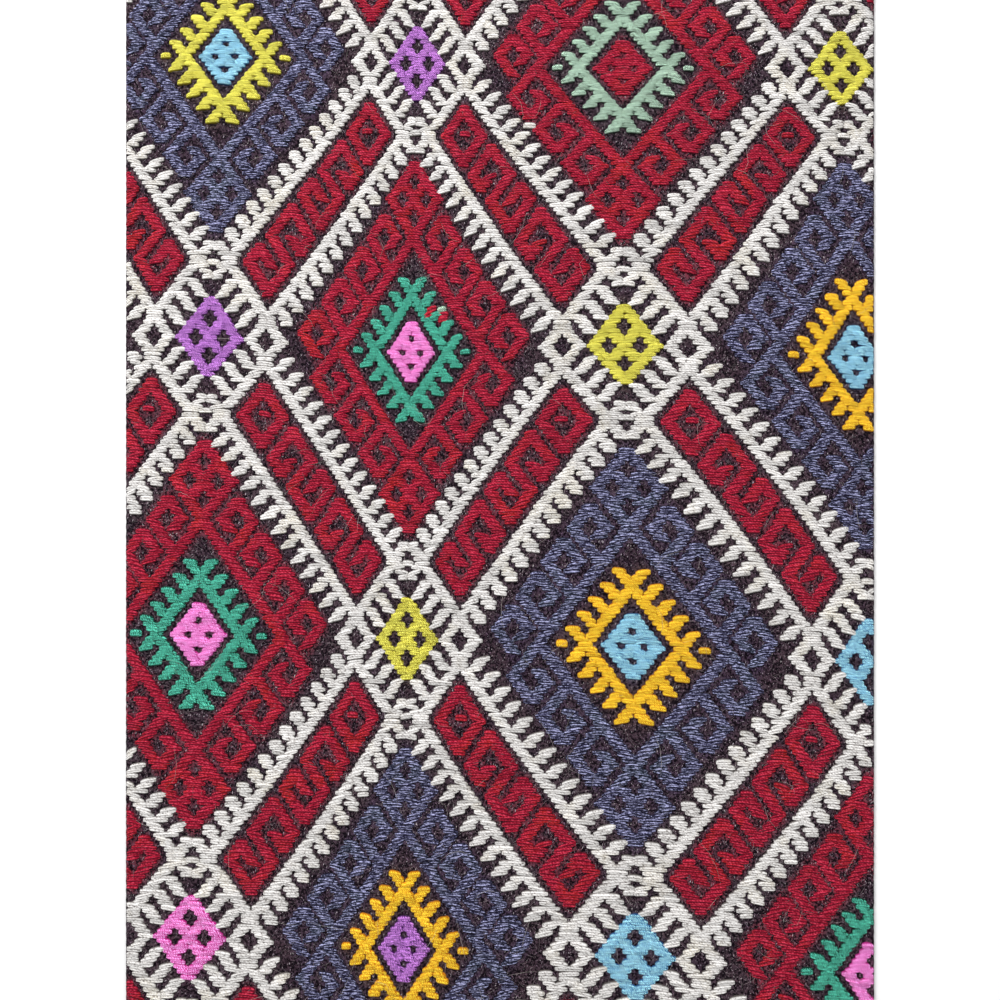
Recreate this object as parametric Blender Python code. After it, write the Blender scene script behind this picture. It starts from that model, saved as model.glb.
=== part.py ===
"""Cut length of a hand-woven kilim: one flat woven cloth, lying face up.

The cloth is a dark wool plain weave that carries its pattern as raised brocade floats.
Both are woven in one go, so the cloth is a single solid. X runs across the cloth, along
the wefts; Y runs along the warps; Z is up. The origin is under the middle of the cloth.
"""
import math

import bmesh
import bpy

# Driving dimensions, in metres.
LENGTH = 0.529            # cut end to cut end, along the warps
WIDTH_FAR = 0.388         # across the far end (+Y), where the weave is widest
WIDTH_NEAR = 0.3627       # across the near end (-Y)
THICKNESS = 0.0029        # ground weave with the brocade floats lying on it
FIELD_SWELL = 0.0004      # the hooked diamonds are packed fuller and stand this much higher
SIDE_WAVER = 0.0004       # how far the side edges wander in and out
CUT_WAVER = 0.0008        # how far the cut ends wander along the warps
LOOSE_RELIEF = 0.00012    # slow rise and fall of the hand-beaten face

# The pattern lattice: a hooked diamond and a small diamond alternate at this spacing.
MOTIF_WIDTH = 0.1090
MOTIF_LENGTH = 0.1484
MOTIF_ORIGIN = (-0.0452, 0.0668)   # centre of one hooked diamond
ROW_SLOPE = -0.031                 # the wefts drop this much for each metre across

# Divisions of the face: about four to each motif, so that the swell reads smoothly.
ACROSS = 28
ALONG = 38

WOOL_COLOUR = (0.20, 0.055, 0.065, 1.0)
WOOL_ROUGHNESS = 0.92

COLLECTION_NAME = "kilim_length"
CLOTH_NAME = "kilim_cloth"


def clear_scene():
    for thing in list(bpy.data.objects):
        bpy.data.objects.remove(thing, do_unlink=True)


def make_collection(name):
    collection = bpy.data.collections.new(name)
    bpy.context.scene.collection.children.link(collection)
    return collection


def wool_material():
    material = bpy.data.materials.new("kilim_wool")
    material.use_nodes = True
    shader = material.node_tree.nodes["Principled BSDF"]
    shader.inputs["Base Color"].default_value = WOOL_COLOUR
    shader.inputs["Roughness"].default_value = WOOL_ROUGHNESS
    shader.inputs["Metallic"].default_value = 0.0
    material.diffuse_color = WOOL_COLOUR
    return material


def waver(along, turns, phase):
    """A slow, uneven wander that is zero at both ends of its run, for along from -1 to 1."""
    ease = 1.0 - along * along
    return ease * (0.7 * math.sin(turns * along + phase) + 0.3 * math.sin(2.3 * turns * along))


def half_width(along):
    """Half the cloth's width at a place along it, from -1 at the near end to 1 at the far."""
    middle = (WIDTH_FAR + WIDTH_NEAR) / 4
    return middle + along * (WIDTH_FAR - WIDTH_NEAR) / 4


def outline_point(across, along):
    """Maps the square from -1 to 1 both ways onto the cloth's slightly uneven outline."""
    side = 1.0 if across > 0 else -1.0
    x = across * (half_width(along) - SIDE_WAVER * (0.5 + 0.5 * waver(along, 5.0, side)))
    cut = CUT_WAVER * abs(along) ** 6 * (0.5 + 0.5 * waver(across, 4.0, along))
    y = along * (LENGTH / 2 - cut)
    return x, y


def field_height(x, y):
    """Height of the face: fullest on the hooked diamonds, lowest on the small ones."""
    turn_x = math.pi * (x - MOTIF_ORIGIN[0]) / MOTIF_WIDTH
    turn_y = math.pi * (y - MOTIF_ORIGIN[1] - ROW_SLOPE * (x - MOTIF_ORIGIN[0])) / MOTIF_LENGTH
    swell = FIELD_SWELL * 0.5 * (1.0 + math.cos(turn_x) * math.cos(turn_y))
    loose = LOOSE_RELIEF * math.sin(21.0 * x + 8.0 * y) * math.sin(17.0 * y - 6.0 * x)
    return THICKNESS + swell + loose


def build_cloth(collection):
    """A grid laid to the outline, pushed up to the face's height over a flat underside."""
    sheet = bmesh.new()
    bmesh.ops.create_grid(sheet, x_segments=ACROSS, y_segments=ALONG, size=1.0)
    for vertex in sheet.verts:
        vertex.co.x, vertex.co.y = outline_point(vertex.co.x, vertex.co.y)
    underside = list(sheet.faces)
    pushed = bmesh.ops.extrude_face_region(sheet, geom=underside, use_keep_orig=True)
    face_verts = [item for item in pushed["geom"] if isinstance(item, bmesh.types.BMVert)]
    for vertex in face_verts:
        vertex.co.z = field_height(vertex.co.x, vertex.co.y)
    bmesh.ops.dissolve_faces(sheet, faces=underside, use_verts=False)
    bmesh.ops.recalc_face_normals(sheet, faces=sheet.faces)
    mesh = bpy.data.meshes.new(CLOTH_NAME)
    sheet.to_mesh(mesh)
    sheet.free()
    mesh.materials.append(wool_material())
    mesh.shade_smooth()
    mesh.set_sharp_from_angle(angle=math.radians(40))
    cloth = bpy.data.objects.new(CLOTH_NAME, mesh)
    collection.objects.link(cloth)
    return cloth


def main():
    clear_scene()
    build_cloth(make_collection(COLLECTION_NAME))


main()
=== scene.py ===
# %% [markdown]
# # A cut length of brocaded kilim
# This lesson dresses one piece of hand-woven wool. The cloth is a dark plain weave, and its pattern
# is laid in by hand while weaving: a thicker coloured yarn floats over three warps, dives under,
# and one row further down floats again, one warp to the side. Thousands of such short floats make
# the diamonds, the combs and the hooks. They stand up like grains of rice, so here they are real
# geometry and not a picture on a plane.
#
# The first cell loads the fixed model. Its box tells how large the cloth is, and nothing that is
# built later may change that.

# %% Load the fixed model
import math

import bpy
import numpy as np
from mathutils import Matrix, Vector


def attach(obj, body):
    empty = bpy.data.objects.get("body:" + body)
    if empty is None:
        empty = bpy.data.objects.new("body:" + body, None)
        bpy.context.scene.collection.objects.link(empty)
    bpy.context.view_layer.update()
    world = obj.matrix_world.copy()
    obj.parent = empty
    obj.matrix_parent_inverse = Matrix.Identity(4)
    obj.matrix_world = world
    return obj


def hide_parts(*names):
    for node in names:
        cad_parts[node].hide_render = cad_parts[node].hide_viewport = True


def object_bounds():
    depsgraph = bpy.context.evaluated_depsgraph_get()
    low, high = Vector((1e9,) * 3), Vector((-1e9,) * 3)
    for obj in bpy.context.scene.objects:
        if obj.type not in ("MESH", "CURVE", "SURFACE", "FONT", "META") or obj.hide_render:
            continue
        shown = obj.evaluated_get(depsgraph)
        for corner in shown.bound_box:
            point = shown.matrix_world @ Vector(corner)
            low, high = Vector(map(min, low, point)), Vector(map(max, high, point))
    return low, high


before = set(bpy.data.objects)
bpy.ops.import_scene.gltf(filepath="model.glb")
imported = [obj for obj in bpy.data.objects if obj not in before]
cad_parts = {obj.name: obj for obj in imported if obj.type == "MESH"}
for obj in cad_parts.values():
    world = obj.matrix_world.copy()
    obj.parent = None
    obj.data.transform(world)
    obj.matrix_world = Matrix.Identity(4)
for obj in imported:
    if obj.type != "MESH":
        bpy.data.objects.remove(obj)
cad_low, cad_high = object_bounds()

CLOTH = "kilim_cloth"
MM = 0.001
rng = np.random.default_rng(63)

print("cloth from the model, mm:", [round(v / MM, 1) for v in (cad_high - cad_low)])

# %% [markdown]
# ## Counting in warps and rows
# A weaver thinks in counts, not in millimetres. One step of this pattern, from a hooked diamond to
# the small diamond beside it, takes 63 warps across, and the same number of brocade rows down. The
# rows are coarser than the warps, so the diamonds come out taller than wide.
#
# Every motif is listed with its yarns and with its drift, the few millimetres by which hand
# beating has moved it from the even lattice. Colours and drifts could be worked into the drawing
# of each motif, but in one table they read like the weaver's own plan.

# %% The weaver's plan
UNIT = 63
REPEAT = 2 * UNIT
WARP_PITCH = 109.0 / UNIT * MM
ROW_PITCH = 148.4 / UNIT * MM

YARNS = ("ground", "ivory", "crimson", "indigo", "yellow", "orange", "emerald", "pale_green",
         "pink", "sky", "violet")
YARN = {name: number for number, name in enumerate(YARNS)}

# Hooked diamonds: column, row, field, comb ring, core, drift across and up in mm
HOOKED = (
    (0, 0, "indigo", "yellow", "sky", 2.2, 0.5),
    (2, 0, "crimson", "pale_green", "crimson", -1.0, -1.2),
    (1, 1, "crimson", "emerald", "pink", -0.8, -2.8),
    (3, 1, "indigo", "orange", "sky", 1.2, -0.6),
    (0, 2, "crimson", "emerald", "pink", -0.2, -0.4),
    (2, 2, "indigo", "orange", "sky", 1.7, 0.4),
    (1, 3, "indigo", "orange", "violet", 0.0, -0.7),
    (3, 3, "crimson", "emerald", "pink", -1.4, -1.0),
)
# Small diamonds: column, row, window, drift across and up in mm
SMALL = (
    (1, 0, "violet", 0.0, -1.0),
    (3, 0, "yellow", -1.5, 1.0),
    (0, 1, "violet", -0.4, 2.6),
    (2, 1, "yellow", -1.3, 3.6),
    (1, 2, "yellow", -0.6, 0.9),
    (3, 2, "sky", 3.4, -4.0),
    (0, 3, "pink", 1.2, -1.5),
    (2, 3, "sky", 1.5, 1.8),
)
print(len(HOOKED), "hooked diamonds and", len(SMALL), "small ones on the plan")

# %% [markdown]
# ## From counts to places on the cloth
# Real cloth is never a perfect grid. The rows of this piece run slightly downhill, the warps fan
# out a little towards one end, and each motif has its own drift. One function holds all of that:
# it takes a warp and a row, fractions allowed, and gives the place in metres. Everything that is
# made later goes through it, so floats, ground and fibres always agree.

# %% Lay the counts on the cloth
PLAN_MIDDLE = 1.5                  # the middle of the counted lattice, in steps of the plan
MIDDLE = (9.0 * MM, -6.0 * MM)     # where that middle lies on the cloth
CROWDING = 3.3 * MM                # the warps crowd at every other column of motifs, by this much
ROW_SLOPE = -3.4 * MM              # the rows drop this much for each step across
LEAN = -0.7 * MM                   # the warps lean this much for each step down
FAN = 1.45 * MM                    # the warps spread this much, step by step, down the cloth
FAN_OF_ROWS = 0.66                 # the rows fan out too, by this share of the warps' fan
EASE_ACROSS = 2.9 * MM             # the lattice opens towards the right side
DRIFT_REACH = 0.55                 # in steps of the lattice, how far a motif's drift reaches
# Uneven beating: place down the cloth in steps, shift of the rows there at the left and right in mm
BEATING = (
    (-0.5, -2.0, -3.0),
    (0.0, 0.5, -0.5),
    (0.5, 2.0, 5.0),
    (1.0, -1.0, 0.0),
    (1.5, 0.0, 3.5),
    (2.0, -0.5, 1.5),
    (2.5, 0.5, -2.5),
    (3.0, 1.5, -3.0),
    (3.5, 1.0, -2.0),
)
beaten_at, beaten_left, beaten_right = np.array(BEATING).T

plan_places = np.array([row[:2] for row in HOOKED + SMALL], float)
plan_drifts = np.array([row[-2:] for row in HOOKED + SMALL], float) * MM


def pull(columns, rows):
    """How strongly each planned motif acts on each place."""
    apart = (columns[..., None] - plan_places[:, 0]) ** 2 + (rows[..., None] - plan_places[:, 1]) ** 2
    return np.exp(-apart / (2 * DRIFT_REACH ** 2))


drift_weights = np.linalg.solve(pull(plan_places[:, 0], plan_places[:, 1]), plan_drifts)


def lay(warps, rows):
    """Places in metres of counted warps and rows; rows count downwards, towards -Y."""
    across = np.asarray(warps, float) / UNIT
    down = np.asarray(rows, float) / UNIT
    drift = pull(across, down) @ drift_weights
    a = across - PLAN_MIDDLE
    b = down - PLAN_MIDDLE
    x = MIDDLE[0] + WARP_PITCH * UNIT * a + LEAN * b + FAN * a * b + EASE_ACROSS * a * a
    x = x + CROWDING * np.sin(math.pi * across) + drift[..., 0]
    right = np.clip(across / 3, 0, 1)
    left_shift = np.interp(down, beaten_at, beaten_left) * MM
    right_shift = np.interp(down, beaten_at, beaten_right) * MM
    y = MIDDLE[1] + ROW_SLOPE * a - ROW_PITCH * UNIT * b - FAN * a * b * FAN_OF_ROWS
    y = y + left_shift * (1 - right) + right_shift * right + drift[..., 1]
    return x, y


corner_a, corner_b = lay(np.array([0.0, UNIT]), np.array([0.0, 0.0]))
print("one step across measures", round(float(corner_a[1] - corner_a[0]) / MM, 1), "mm")

# %% [markdown]
# ## The outline
# The piece is cut a little wider at its far end. The outline is read from the model's own side
# edges, so the dressed cloth and the solid cannot disagree.

# %% Read the outline from the model
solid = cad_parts[CLOTH]
solid_points = np.array([v.co for v in solid.data.vertices])
EDGE_BAND = 12 * MM


def half_width_near(y):
    """Half the width of the solid near one place along it."""
    band = np.abs(solid_points[:, 1] - y) < EDGE_BAND
    return np.abs(solid_points[band, 0]).max()


HALF_FAR = half_width_near(cad_high.y)
HALF_NEAR = half_width_near(cad_low.y)


def half_width(y):
    """Half the width of the dressed cloth at places along it; its side edges are straight."""
    share = (np.asarray(y) - cad_low.y) / (cad_high.y - cad_low.y)
    return HALF_NEAR + (HALF_FAR - HALF_NEAR) * share


def inside(x, y, margin=0.0):
    """True for places on the cloth that are at least the margin away from its edges."""
    return (np.abs(x) < half_width(y) - margin) & (y > cad_low.y + margin) & (y < cad_high.y - margin)


print("half width, mm: far", round(HALF_FAR / MM, 1), "near", round(HALF_NEAR / MM, 1))

# %% [markdown]
# ## Drawing with diagonal strokes
# Each float steps one warp aside in each row, so every line of the pattern runs on a diagonal. It
# is easiest to draw in turned counts: s grows down to the right and d grows up to the right. In
# these counts all lines are straight and three wide. A stroke needs only its own line and the
# places where its first and last float lie.

# %% Stroke helpers
def centred(value):
    """Counts from the nearest repeat, from minus half a repeat to half a repeat."""
    return (value + REPEAT // 2) % REPEAT - REPEAT // 2


def near(value, middle):
    """True on the three counts that make up a line."""
    return np.abs(value - middle) <= 1


def stroke(along, across, line, first, last):
    """Whole floats on one line, whose middles lie from first to last along it."""
    middle = along - (across - line)
    return near(across, line) & (middle >= min(first, last)) & (middle <= max(first, last))


def four_hole_window(s, d, size, hole):
    """A square of floats with four holes: a frame three wide and a cross three wide."""
    wide = np.maximum(np.abs(s), np.abs(d))
    slim = np.minimum(np.abs(s), np.abs(d))
    return (wide <= size) & ~((slim >= 2) & (wide <= hole))


print("the pattern repeats every", REPEAT, "turned counts")

# %% [markdown]
# ## The ivory lattice
# Two parallel lines run from each small diamond to the next, and both carry a comb whose teeth
# point at the hooked diamonds. Around the small diamond the lines cross, close into little squares
# at its right and left, stay open above and below, and send short teeth inwards.

# %% Draw the lattice and its combs
TOOTH_PITCH = 6
FIRST_TOOTH, LAST_TOOTH = 27, 99
TOOTH_ROOT, TOOTH_TIP = 15, 19          # first and last float of an outer tooth, beside the pair
LINE_AT = 12                            # each line of a pair lies this far from the pair's middle
SQUARE_AT = 21                          # the outer sides of the little squares
CLOSED_START, OPEN_START = 11, 14       # where the lines begin at the squares, and where it is open
CLOSED_END, OPEN_END = 22, 19           # how far the outer sides reach there
DOT_ROW = 16                            # a lone float closes the open side
INNER_ROOT, INNER_TIP = 12, 18          # first and last float of an inner tooth


def comb(along, across):
    """Teeth of three floats on both outer sides of a pair of lines."""
    tooth = FIRST_TOOTH + TOOTH_PITCH * np.round((along - FIRST_TOOTH) / TOOTH_PITCH)
    middle = np.abs(across - (along - tooth))
    on_tooth = near(along, tooth) & (tooth >= FIRST_TOOTH) & (tooth <= LAST_TOOTH)
    return on_tooth & (middle >= TOOTH_ROOT) & (middle <= TOOTH_TIP)


def lattice(s, d, along_right, along_left):
    """The ivory lines, squares and teeth, counted from the nearest small diamond."""
    a, b = np.abs(s), np.abs(d)
    sideways = s * d > 0
    start = np.where(sideways, CLOSED_START, OPEN_START)
    end = np.where(sideways, CLOSED_END, OPEN_END)
    drawn = near(b, LINE_AT) & (a >= start) | near(a, LINE_AT) & (b >= start)
    drawn |= near(a, SQUARE_AT) & (b <= end) | near(b, SQUARE_AT) & (a <= end)
    row = (s - d) // 2
    warp = (s + d) // 2
    drawn |= (np.abs(row) == DOT_ROW) & (np.abs(warp) <= 1)
    for line in (-TOOTH_PITCH, 0, TOOTH_PITCH):
        for way in (-1, 1):
            drawn |= stroke(s, d, line, INNER_ROOT * way, INNER_TIP * way)
            drawn |= stroke(d, s, line, INNER_ROOT * way, INNER_TIP * way)
    return drawn | comb(along_right, d) | comb(along_left, s)


print((LAST_TOOTH - FIRST_TOOTH) // TOOTH_PITCH + 1, "teeth on each outer side of a pair of lines")


# %% [markdown]
# ## The bars of S hooks
# Between two lattice lines lies a dark channel with a crimson bar. Its upper end is a box with one
# float in it, and after the box come two S hooks. Each S is five columns: full ones at its ends
# and middle, and a short one on each side of the middle that curls inwards.

# %% Draw a bar
BAR_HALF = 7
BAR_EDGE = 6
BAR_START, BAR_END = 26, 100
FULL_COLUMNS = (0, 2, 3, 5, 7, 8, 10, 12)
LOW_CURLS = (4, 9)
HIGH_CURLS = (6, 11)
LONE_COLUMN, LONE_MIDDLE = 1, 1         # the single float inside the box
# Edges of the box and the S hooks: first column, last column, side
BAR_EDGES = (
    (0, 2, -1), (0, 2, 1),
    (3, 4, -1), (5, 7, -1), (3, 5, 1), (6, 7, 1),
    (8, 9, -1), (10, 12, -1), (8, 10, 1), (11, 12, 1),
)


def bar(along, across):
    """One bar, with columns six counts apart that cross it from edge to edge."""
    column = np.round((along - FIRST_TOOTH) / TOOTH_PITCH).astype(int)
    off = along - (FIRST_TOOTH + TOOTH_PITCH * column)
    middle = across - off
    on_column = near(off, 0)
    drawn = on_column & np.isin(column, FULL_COLUMNS)
    drawn |= on_column & np.isin(column, LOW_CURLS) & (middle <= 0)
    drawn |= on_column & np.isin(column, HIGH_CURLS) & (middle >= -1)
    drawn |= on_column & (column == LONE_COLUMN) & (middle == LONE_MIDDLE)
    for first, last, side in BAR_EDGES:
        start = BAR_START + TOOTH_PITCH * first
        end = BAR_START + 2 + TOOTH_PITCH * last
        drawn |= near(across, BAR_EDGE * side) & (along >= start) & (along <= end)
    return drawn & (np.abs(across) <= BAR_HALF) & (along >= BAR_START) & (along <= BAR_END)


print(len(FULL_COLUMNS), "full columns and", len(LOW_CURLS + HIGH_CURLS), "short ones in a bar")

# %% [markdown]
# ## The hooked diamonds
# From the middle outwards: a bright core with four tiny holes, a comb ring in a second colour, a
# plain square line, and a row of hooks on each side, with a four-hole window at the top and the
# bottom. The two upper sides carry four hooks each, the lower sides three. The left half mirrors
# the right one, and in turned counts a mirror is only a swap of s and d with both signs changed.

# %% Draw the hooked diamonds
CORE_HALF, CORE_HOLE = 7, 4             # half the size of the core, and how far out its holes lie
RING_LINE = 12
PRONG_ROOT, PRONG_TIP = 14, 18
FRAME_LINE = 24
WINDOW_AT = 32
WINDOW_HALF, WINDOW_HOLE = 9, 6
HOOK_TOP = 38
CURL_END = 30
CURL_LENGTH = 4
# Upper hooks: column of the curl, column of the post, first row of the post
UPPER_HOOKS = ((-18, -9, 24), (-4, 5, 24), (10, 19, 24), (24, 33, 28))
# Lower hooks: column of the curl, column of the post
LOWER_HOOKS = ((18, 8), (2, -8), (-14, -24))


def square(a, b, line):
    """The four sides of a square line."""
    return near(a, line) & (b <= line + 1) | near(b, line) & (a <= line + 1)


def ring(s, d):
    """The comb ring: a square line with five prongs on each side, and a lone float at each hand."""
    drawn = square(np.abs(s), np.abs(d), RING_LINE)
    for line in range(-RING_LINE, RING_LINE + 1, TOOTH_PITCH):
        for way in (-1, 1):
            drawn |= stroke(s, d, line, PRONG_ROOT * way, PRONG_TIP * way)
            drawn |= stroke(d, s, line, PRONG_ROOT * way, PRONG_TIP * way)
    row = (s - d) // 2
    warp = (s + d) // 2
    return drawn | (row == 0) & near(np.abs(warp), PRONG_TIP)


def upper_hooks(s, d):
    """Each hook rises on a post, runs back along the top and curls down and in."""
    drawn = np.zeros(s.shape, bool)
    for curl, post, foot in UPPER_HOOKS:
        drawn |= near(s, post) & (d >= foot) & (d <= HOOK_TOP + 1)
        drawn |= near(d, HOOK_TOP) & (s >= curl - 1) & (s <= post + 1)
        drawn |= near(s, curl) & (d >= CURL_END - 1) & (d <= HOOK_TOP + 1)
        drawn |= stroke(s, d, CURL_END, curl, curl + CURL_LENGTH)
    return drawn


def lower_hooks(s, d):
    """The same hook hung from the frame, with its curl on the other side of the post."""
    drawn = np.zeros(s.shape, bool)
    for curl, post in LOWER_HOOKS:
        drawn |= near(s, post) & (d <= -FRAME_LINE) & (d >= -HOOK_TOP - 1)
        drawn |= near(d, -HOOK_TOP) & (s >= post - 1) & (s <= curl + 1)
        drawn |= near(s, curl) & (d <= 1 - CURL_END) & (d >= -HOOK_TOP - 1)
        drawn |= stroke(s, d, -CURL_END, curl - CURL_LENGTH, curl)
    return drawn


def hooked_field(s, d):
    """The square frame, the windows above and below it, and the hooks of both halves."""
    drawn = square(np.abs(s), np.abs(d), FRAME_LINE)
    drawn |= four_hole_window(s + WINDOW_AT, d - WINDOW_AT, WINDOW_HALF, WINDOW_HOLE)
    drawn |= four_hole_window(s - WINDOW_AT, d + WINDOW_AT, WINDOW_HALF, WINDOW_HOLE)
    drawn |= upper_hooks(s, d) | upper_hooks(-d, -s)
    return drawn | lower_hooks(s, d) | lower_hooks(-d, -s)


print(2 * len(UPPER_HOOKS + LOWER_HOOKS), "hooks in a diamond")

# %% [markdown]
# ## The whole chart
# Now each crossing of a warp and a row gets its yarn. Arrays do this in one go for the whole
# cloth: the same question is asked of sixty thousand crossings at once. A second chart keeps
# which yarn is carried along behind the ground, because that is what the back of the cloth shows.

# %% Chart the cloth
WARPS = np.arange(-42, 208)
ROWS = np.arange(-32, 216)
warp_grid, row_grid = np.meshgrid(WARPS, ROWS)
turned_s = warp_grid + row_grid
turned_d = warp_grid - row_grid
# Reach of what is carried behind the ground, from the middle of a bar, window or diamond
CHANNEL_HALF = 9
CHANNEL_START, CHANNEL_END = 24, 102
FIELD_REACH, RING_REACH, HEART_REACH = 41, 21, 8


def chart():
    """The yarn that floats over each crossing, and the yarn that is carried behind it."""
    face = np.zeros(warp_grid.shape, int)
    s = centred(turned_s - UNIT)
    d = centred(turned_d - UNIT)
    along_right = (turned_s - UNIT) % REPEAT
    along_left = (UNIT - turned_d) % REPEAT
    carried = np.full(face.shape, YARN["ivory"])
    for across, along in ((d, along_right), (s, along_left)):
        in_bar = (np.abs(across) <= CHANNEL_HALF) & (along >= CHANNEL_START) & (along <= CHANNEL_END)
        carried[in_bar] = YARN["crimson"]
    face[lattice(s, d, along_right, along_left)] = YARN["ivory"]
    face[bar(along_right, d) | bar(along_left, -s)] = YARN["crimson"]
    for column, row, window, *_ in SMALL:
        s = turned_s - UNIT * (column + row)
        d = turned_d - UNIT * (column - row)
        carried[np.maximum(np.abs(s), np.abs(d)) <= WINDOW_HALF] = YARN[window]
        face[four_hole_window(s, d, WINDOW_HALF, WINDOW_HOLE)] = YARN[window]
    for column, row, field, comb_ring, heart, *_ in HOOKED:
        s = turned_s - UNIT * (column + row)
        d = turned_d - UNIT * (column - row)
        reach = np.maximum(np.abs(s), np.abs(d))
        carried[reach <= FIELD_REACH] = YARN[field]
        carried[reach <= RING_REACH] = YARN[comb_ring]
        carried[reach <= HEART_REACH] = YARN[heart]
        face[(reach <= FIELD_REACH) & hooked_field(s, d)] = YARN[field]
        face[(reach <= RING_REACH) & ring(s, d)] = YARN[comb_ring]
        face[four_hole_window(s, d, CORE_HALF, CORE_HOLE)] = YARN[heart]
    return face, carried


face_yarn, back_yarn = chart()
cell_x, cell_y = lay(warp_grid, row_grid)
on_cloth = inside(cell_x, cell_y)
print(int(on_cloth.sum()), "crossings on the cloth,",
      int((on_cloth & (face_yarn > 0)).sum()), "under coloured yarn")

# %% [markdown]
# ## From crossings to floats
# Neighbouring crossings of one colour in a row are covered by one float, and a long run is split,
# because a float over more than six warps would snag. Each float remembers which way its line
# leans: the yarn climbs from row to row behind the cloth and drags the float's ends with it.

# %% Gather the floats
LONGEST_FLOAT = 6
LONGEST_THREAD = 4         # the bright yarns are laid in shorter floats
USUAL_FLOAT = 4            # a long run is split into floats of about this length


def split(length, longest, row):
    """Lengths of the floats that cover a run; even rows put the short ones first, as bricks lie."""
    if length <= longest:
        return [length]
    count = math.ceil(length / USUAL_FLOAT)
    short, extra = divmod(length, count)
    lengths = [short + 1] * extra + [short] * (count - extra)
    return lengths if row % 2 else lengths[::-1]


def lean_of(row, first, last, yarn):
    """1 where the line runs down to the right, -1 down to the left, 0 where it is neither."""
    lean = 0
    for step in (-1, 1):
        line = face_yarn[row + step]
        right = line[last + 1] == yarn and line[first] != yarn
        left = line[first - 1] == yarn and line[last] != yarn
        lean += step * (int(right) - int(left))
    return max(-1, min(1, lean))


def gather_floats():
    """One entry a float: row, first and last warp, yarn, lean, and if one lies above and below."""
    found = []
    for row in range(1, len(ROWS) - 1):
        line = face_yarn[row]
        first = 1
        while first < len(WARPS) - 1:
            last = first
            while last + 1 < len(WARPS) - 1 and line[last + 1] == line[first]:
                last += 1
            if line[first] > 0 and last > first:
                at = first
                longest = LONGEST_FLOAT if line[first] <= YARN["indigo"] else LONGEST_THREAD
                for length in split(last - first + 1, longest, row):
                    last_at = at + length - 1
                    lean = lean_of(row, at, last_at, line[first])
                    above = int(line[first] in face_yarn[row - 1, at:last_at + 1])
                    below = int(line[first] in face_yarn[row + 1, at:last_at + 1])
                    found.append((row, at, last_at, line[first], lean, above, below))
                    at += length
            first = last + 1
    return np.array(found)


# The warp at which each row leaves the cloth, at the left and at the right
across_share = cell_x / half_width(cell_y)
left_edge = np.array([np.interp(-1, row, WARPS) for row in across_share])
right_edge = np.array([np.interp(1, row, WARPS) for row in across_share])
SHORTEST_STUB = 0.9        # in warps, the least of a cut float that is still laid

# Odd floats, where another yarn was taken: first warp, last warp, row, yarn
ODD_FLOATS = (
    (69, 70, 54, "crimson"), (68, 69, 55, "crimson"), (73, 74, 55, "crimson"), (73, 74, 56, "crimson"),
    (72, 74, 54, "pale_green"), (99, 101, 14, "ivory"),
)
for first, last, row, yarn in ODD_FLOATS:
    face_yarn[row - ROWS[0], first - WARPS[0]:last + 1 - WARPS[0]] = YARN[yarn]

all_floats = gather_floats()
middle_warp = WARPS[0] + (all_floats[:, 1] + all_floats[:, 2]) / 2
middle_y = lay(middle_warp, ROWS[0] + all_floats[:, 0])[1]
shown_length = (np.minimum(WARPS[0] + all_floats[:, 2] + 0.5, right_edge[all_floats[:, 0]])
                - np.maximum(WARPS[0] + all_floats[:, 1] - 0.5, left_edge[all_floats[:, 0]]))
on_piece = (middle_y > cad_low.y + ROW_PITCH / 2) & (middle_y < cad_high.y - ROW_PITCH / 2)
all_floats = all_floats[on_piece & (shown_length > SHORTEST_STUB)]
for name in YARNS[1:]:
    print(name, int((all_floats[:, 3] == YARN[name]).sum()), "floats")

# %% [markdown]
# ## The shape of one float
# A float is two strands of wool side by side. It rises out of the ground, runs flat over its warps
# and dives again, so seen from above it is a slim bean with a crease along it. Curves with a bevel
# could make it, but seven thousand curve objects would be slow. Instead the points of one small
# shell, five sections and two pointed ends, are worked out for all floats of a colour at once.
#
# No two floats of handwork are alike, so each draws its own ends, level, slant, width and height.
# A float beside another is held by it; on its free sides it spreads a little.

# %% The build of the floats
# Along a float: places of the sections from end to end, and their share of its height and width
SECTIONS = np.array([-0.91, -0.62, 0.0, 0.62, 0.91])
SECTION_HEIGHT = np.array([0.68, 0.95, 1.0, 0.95, 0.68])
SECTION_WIDTH = np.array([0.66, 0.95, 1.0, 0.95, 0.66])
# Across a float: places of the rim points, and their share of its height where the two strands
# lie loosely side by side, and where they are packed into one round pad
RIM = np.array([-0.5, -0.43, -0.22, 0.0, 0.22, 0.43, 0.5])
LOOSE_RIM = np.array([0.0, 0.50, 1.0, 0.52, 1.0, 0.50, 0.0])
ROUND_RIM = np.array([0.0, 0.70, 1.0, 0.80, 1.0, 0.70, 0.0])
BOW = 0.14                 # the middle of a float is pushed up the cloth by this share of a row
GROUND_TOP = 1.75 * MM
FLOAT_FOOT = 1.35 * MM

# Build of the floats in each piece: height in mm, width in rows, spare length in warps, and how
# far they are dragged aslant
PIECE_BUILD = {
    "brocade_ivory_combs": (1.65, 1.36, 1.90, 1.0),
    "brocade_ivory_lines": (1.65, 1.34, 1.50, 1.0),
    "brocade_crimson_bars": (1.60, 1.37, 1.65, 1.0),
    "brocade_crimson_diamonds": (1.60, 1.37, 1.60, 1.0),
    "brocade_indigo": (1.45, 1.36, 1.70, 1.0),
    "brocade_orange": (1.65, 1.42, 1.10, 0.6),
    "brocade_emerald": (1.65, 1.43, 1.30, 0.6),
    "brocade_pale_green": (1.65, 1.42, 1.20, 0.6),
}
CORE_BUILD = (1.65, 1.38, 1.45, 0.6)      # the yarns of the cores and windows are laid longer
SPREAD = 0.12              # in rows, how far a float spreads to a side where no other float holds it
ALONE_SPARE = -0.9         # in warps, how much shorter a float is that lies all alone
EDGE_GAP = 0.1             # in warps, how far a float stops short of the cut side
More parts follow.
